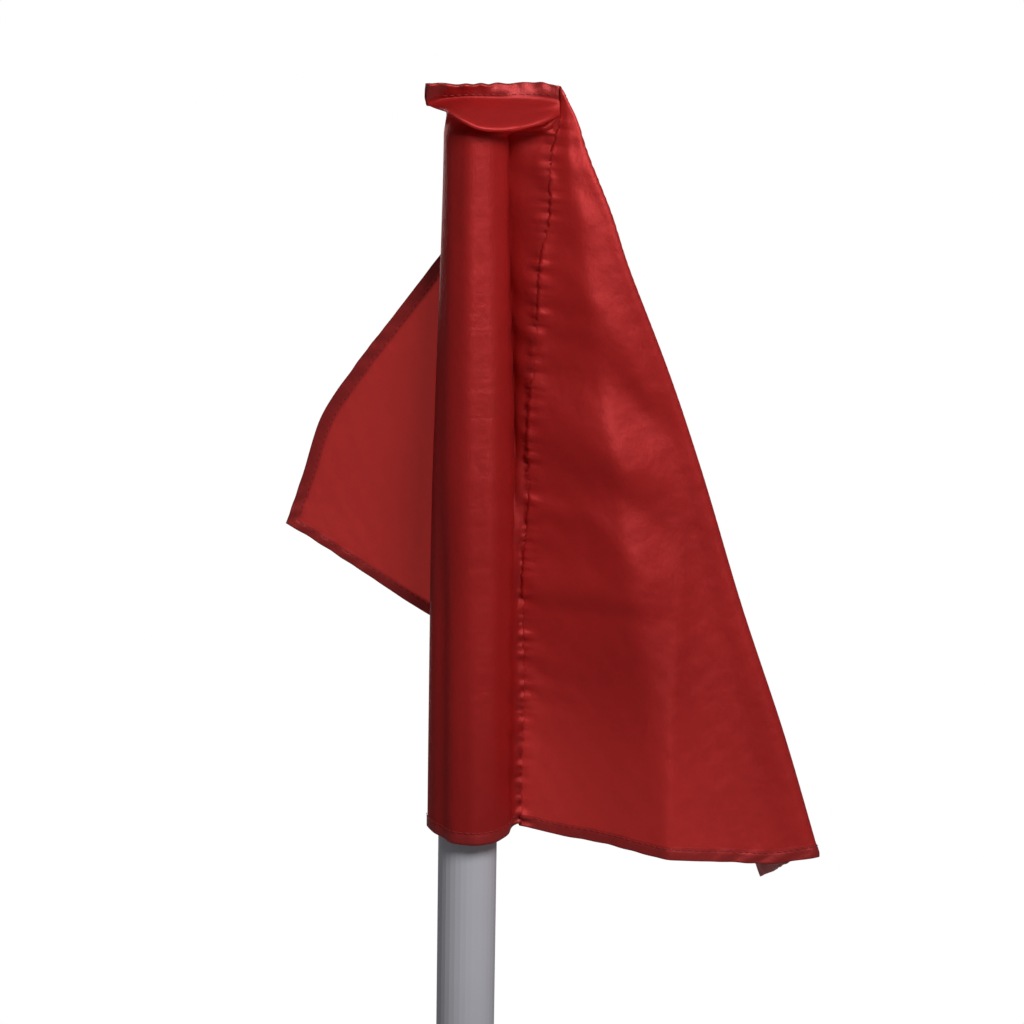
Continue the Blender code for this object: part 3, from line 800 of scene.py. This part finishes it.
def make_fly(mat):
    columns = finer_at_ends(0.0, FLY, 0.0016)
    rows = finer_at_ends(0.0005, HOIST, 0.0015)
    along, down = np.meshgrid(columns, rows)
    places = fly_places(along, down)
    # its edge is caught between the pocket's walls, below the closed top
    places[:, 0] += TUCK * smooth((0.006 - places[:, 0, 2:]) / 0.010)
    flat = np.stack([along, HOIST - down], axis=-1)
    free = np.minimum(np.minimum(FLY - along, HOIST - down), down)
    # a hem is thicker and painted darker, as painted shade, and thinner along its stitches
    hem = smooth((HEM - free) / 0.0008) * (1 - 0.75 * hump(free, HEM - 0.0010, 0.0005))
    # the lower free corner is turned in across the hems, and so is painted darker with them, as painted shade
    hem = np.maximum(hem, smooth((0.015 - np.hypot(FLY - along, HOIST - down)) / 0.002))
    fly = cloth_mesh("flag_fly_cloth", places, flat, mat, hem)
    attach(fly, "fly")
    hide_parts("flag_front_panel", "flag_back_panel")
    return fly


# ---------------------------------------------------------------- stitching


def both_sides(places, beside):
    """The run on each face of a hem, from places on it and the same run moved a little to one side."""
    along = unit(np.gradient(places, axis=0))
    normal = unit(np.cross(along, beside - places))
    out = normal * (HEM_CLOTH / 2 + FLY_THREAD_GAP)
    return [(places + out, normal), (places - out, -normal)]


def stitch_fly():
    """Rows of stitches inside the fly's three free edges, on both faces."""
    inset = HEM - 0.0010
    aside = 0.0008
    steps = 300
    top = np.linspace(0.012, FLY - inset, steps)
    end = np.linspace(inset, HOIST - inset, steps)
    foot = np.linspace(0.004, FLY - inset, steps)
    # each row's places along the fly and down the hoist, and the way into the cloth from it
    rows = [(top, inset, (0, 1)), (FLY - inset, end, (-1, 0)), (foot, HOIST - inset, (0, -1))]
    runs = []
    for along, down, (more_along, more_down) in rows:
        along, down = np.broadcast_arrays(along, down)
        beside = fly_places(along + aside * more_along, down + aside * more_down)
        runs += both_sides(fly_places(along, down), beside)
    return thread("fly_hem_stitching", runs, "fly")


def stitch_pocket(places, run, top):
    """Rows of stitches round the foot, across the closed top, and down the wall beside the seam."""
    outward = outward_of(places)
    foot = int(np.searchsorted(run, HEM - 0.0008))
    beside_seam = -3  # the column of the back wall that the row beside the seam follows
    half = POCKET_COLUMNS // 2
    on_hem = HEM_CLOTH / 2 + POCKET_THREAD_GAP
    on_cloth = CLOTH / 2 + POCKET_THREAD_GAP
    runs = [(np.roll(places[foot], -1, axis=0) + outward[foot] * on_hem, outward[foot])]
    for columns in (slice(2, half - 2), slice(half + 2, -2)):
        runs.append((places[top, columns] + outward[top, columns] * on_hem, outward[top, columns]))
    wall_outward = outward[:top, beside_seam]
    runs.append((places[:top, beside_seam] + wall_outward * on_cloth, wall_outward))
    return thread("pocket_stitching", runs, "pocket")


# ---------------------------------------------------------------- studio


# The camera stands in front of the flag, above it, and looks down at its middle
CAMERA_OUT = 0.01785
CAMERA_AWAY = 1.4639
CAMERA_UP, AIM_UP = 0.2233, -0.1689  # from the shoulder
CAMERA_ROLL = radians(0.93)


def make_camera():
    camera = bpy.data.cameras.new("camera")
    camera.lens = 120
    camera.sensor_width = 36
    camera.clip_end = 50
    obj = new_object("camera", camera)
    place = Vector((CAMERA_OUT, -CAMERA_AWAY, SHOULDER[2] + CAMERA_UP))
    target = Vector((CAMERA_OUT, 0, SHOULDER[2] + AIM_UP))
    aim = (target - place).to_track_quat("-Z", "Y").to_matrix().to_4x4()
    obj.matrix_world = Matrix.Translation(place) @ aim @ Matrix.Rotation(CAMERA_ROLL, 4, "Z")
    bpy.context.scene.camera = obj


def make_light(name, place, target, size, power):
    light = bpy.data.lights.new(name, "AREA")
    light.shape = "DISK"
    light.size = size
    light.energy = power
    obj = new_object(name, light)
    obj.location = place
    obj.rotation_euler = (Vector(target) - Vector(place)).to_track_quat("-Z", "Y").to_euler()


def make_studio():
    """A soft key light from the front right, a large one from behind, and a white surround."""
    middle = (0.0, 0.0, SHOULDER[2] - 0.15)
    make_light("key", (0.42, -0.90, SHOULDER[2] + 0.80), middle, size=0.55, power=21)
    make_light("backdrop", (-0.7, 2.6, SHOULDER[2] + 0.3), middle, size=2.6, power=48)
    world = bpy.data.worlds.new("studio")
    bpy.context.scene.world = world
    world.use_nodes = True
    tree = world.node_tree
    # the camera sees plain white, and the object is lit by much less than that
    seen = tree.nodes.new("ShaderNodeBackground")
    seen.inputs["Color"].default_value = (1, 1, 1, 1)
    lit = tree.nodes["Background"]
    lit.inputs["Color"].default_value = (0.95, 0.97, 1.0, 1)
    lit.inputs["Strength"].default_value = 0.13
    path = tree.nodes.new("ShaderNodeLightPath")
    mix = tree.nodes.new("ShaderNodeMixShader")
    tree.links.new(path.outputs["Is Camera Ray"], mix.inputs[0])
    tree.links.new(lit.outputs[0], mix.inputs[1])
    tree.links.new(seen.outputs[0], mix.inputs[2])
    tree.links.new(mix.outputs[0], tree.nodes["World Output"].inputs["Surface"])
    bpy.context.scene.view_settings.view_transform = "Standard"


def make_floor():
    """A pale round floor that the stick stands on."""
    steps, radius = 96, 3.0
    mesh = bpy.data.meshes.new("floor")
    rim = [(radius * cos(tau * k / steps), radius * sin(tau * k / steps), 0.0) for k in range(steps)]
    mesh.from_pydata(rim, [], [tuple(range(steps))])
    made = Nodes("floor")
    place = made.add("TexCoord").outputs["Object"]
    tone = made.noise(place, 3.0, 3.0)
    made.set(Base_Color=made.blend(tone, (0.78, 0.78, 0.78, 1), (0.84, 0.84, 0.84, 1)), Roughness=0.8)
    mesh.materials.append(made.mat)
    obj = new_object("floor", mesh)
    obj.location.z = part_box("ferrule")[0][2]


def main():
    make_camera()
    make_studio()
    make_floor()
    dress_frame()
    cloth = nylon("flag_nylon", (0.56, 0.0330, 0.0315), (0.47, 0.0260, 0.0255))
    pocket, places, run, stitch_row = make_pocket(cloth)
    fly = make_fly(cloth)
    pocket_thread = stitch_pocket(places, run, stitch_row)
    fly_thread = stitch_fly()


main()
